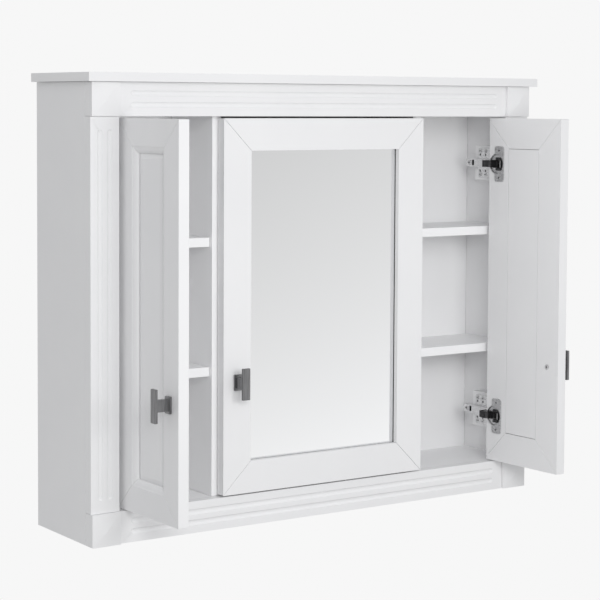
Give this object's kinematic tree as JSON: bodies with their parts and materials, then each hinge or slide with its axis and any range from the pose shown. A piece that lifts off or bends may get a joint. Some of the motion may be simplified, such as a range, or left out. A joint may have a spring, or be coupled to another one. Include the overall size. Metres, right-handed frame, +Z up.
{
  "type": "medicine cabinet with mirror",
  "caption": "Wall-hung bathroom medicine cabinet with a middle mirror door, panel side doors, fluted face frame, shelves and concealed hinges.",
  "frame": {"origin": "centre of the wall face of the upper hanging rail", "axes": "+X to the right seen from the front, +Y into the wall, +Z up"},
  "size_m": [0.89, 0.3488, 0.73],
  "materials": {
    "white_lacquer": "satin white lacquer on MDF, slightly softened arrises",
    "raw_board": "unpainted board, out of sight",
    "silvered_glass": "clear silvered float glass",
    "hinge_steel": "nickel-plated pressed steel",
    "handle_metal": "satin black-nickel die-cast metal"
  },
  "bodies": {
    "carcass": {"back_panel": "white_lacquer", "bottom_panel": "white_lacquer", "cap_board": "white_lacquer", "corner_block_left_bottom": "white_lacquer", "corner_block_left_top": "white_lacquer", "corner_block_right_bottom": "white_lacquer", "corner_block_right_top": "white_lacquer", "divider_left": "white_lacquer", "divider_right": "white_lacquer", "frieze_rail": "white_lacquer", "hanging_rail_lower": "raw_board", "hanging_rail_upper": "raw_board", "hinge_block_left_lower": "white_lacquer", "hinge_block_left_upper": "white_lacquer", "hinge_block_right_lower": "white_lacquer", "hinge_block_right_upper": "white_lacquer", "left_door_hinge_arm_lower": "hinge_steel", "left_door_hinge_arm_upper": "hinge_steel", "mirror_door_hinge_arm_lower": "hinge_steel", "mirror_door_hinge_arm_upper": "hinge_steel", "pilaster_left": "white_lacquer", "pilaster_right": "white_lacquer", "plinth_rail": "white_lacquer", "right_door_hinge_arm_lower": "hinge_steel", "right_door_hinge_arm_upper": "hinge_steel", "shelf_left_1": "white_lacquer", "shelf_left_2": "white_lacquer", "shelf_middle_1": "white_lacquer", "shelf_middle_2": "white_lacquer", "shelf_right_1": "white_lacquer", "shelf_right_2": "white_lacquer", "side_panel_left": "white_lacquer", "side_panel_right": "white_lacquer", "top_panel": "white_lacquer"},
    "left_door": {"left_door_bottom_rail": "white_lacquer", "left_door_handle": "handle_metal", "left_door_handle_stile": "white_lacquer", "left_door_hinge_cup_lower": "hinge_steel", "left_door_hinge_cup_upper": "hinge_steel", "left_door_hinge_stile": "white_lacquer", "left_door_raised_panel": "white_lacquer", "left_door_top_rail": "white_lacquer"},
    "mirror_door": {"mirror_backing": "raw_board", "mirror_door_bottom_rail": "white_lacquer", "mirror_door_handle": "handle_metal", "mirror_door_handle_stile": "white_lacquer", "mirror_door_hinge_cup_lower": "hinge_steel", "mirror_door_hinge_cup_upper": "hinge_steel", "mirror_door_hinge_stile": "white_lacquer", "mirror_door_top_rail": "white_lacquer", "mirror_glass": "silvered_glass"},
    "right_door": {"right_door_bottom_rail": "white_lacquer", "right_door_handle": "handle_metal", "right_door_handle_stile": "white_lacquer", "right_door_hinge_cup_lower": "hinge_steel", "right_door_hinge_cup_upper": "hinge_steel", "right_door_hinge_stile": "white_lacquer", "right_door_raised_panel": "white_lacquer", "right_door_top_rail": "white_lacquer"}
  },
  "joints": [
    {"name": "left_door_hinge", "type": "hinge", "parent": "carcass", "child": "left_door", "pos_m": [-0.37, -0.181, 0], "axis": [0, 0, 1], "range_deg": [-16, 89]},
    {"name": "mirror_door_hinge", "type": "hinge", "parent": "carcass", "child": "mirror_door", "pos_m": [0.187, -0.181, 0], "axis": [0, 0, 1], "range_deg": [0, 105]},
    {"name": "right_door_hinge", "type": "hinge", "parent": "carcass", "child": "right_door", "pos_m": [0.37, -0.181, 0], "axis": [0, 0, 1], "range_deg": [-93, 12]}
  ]
}
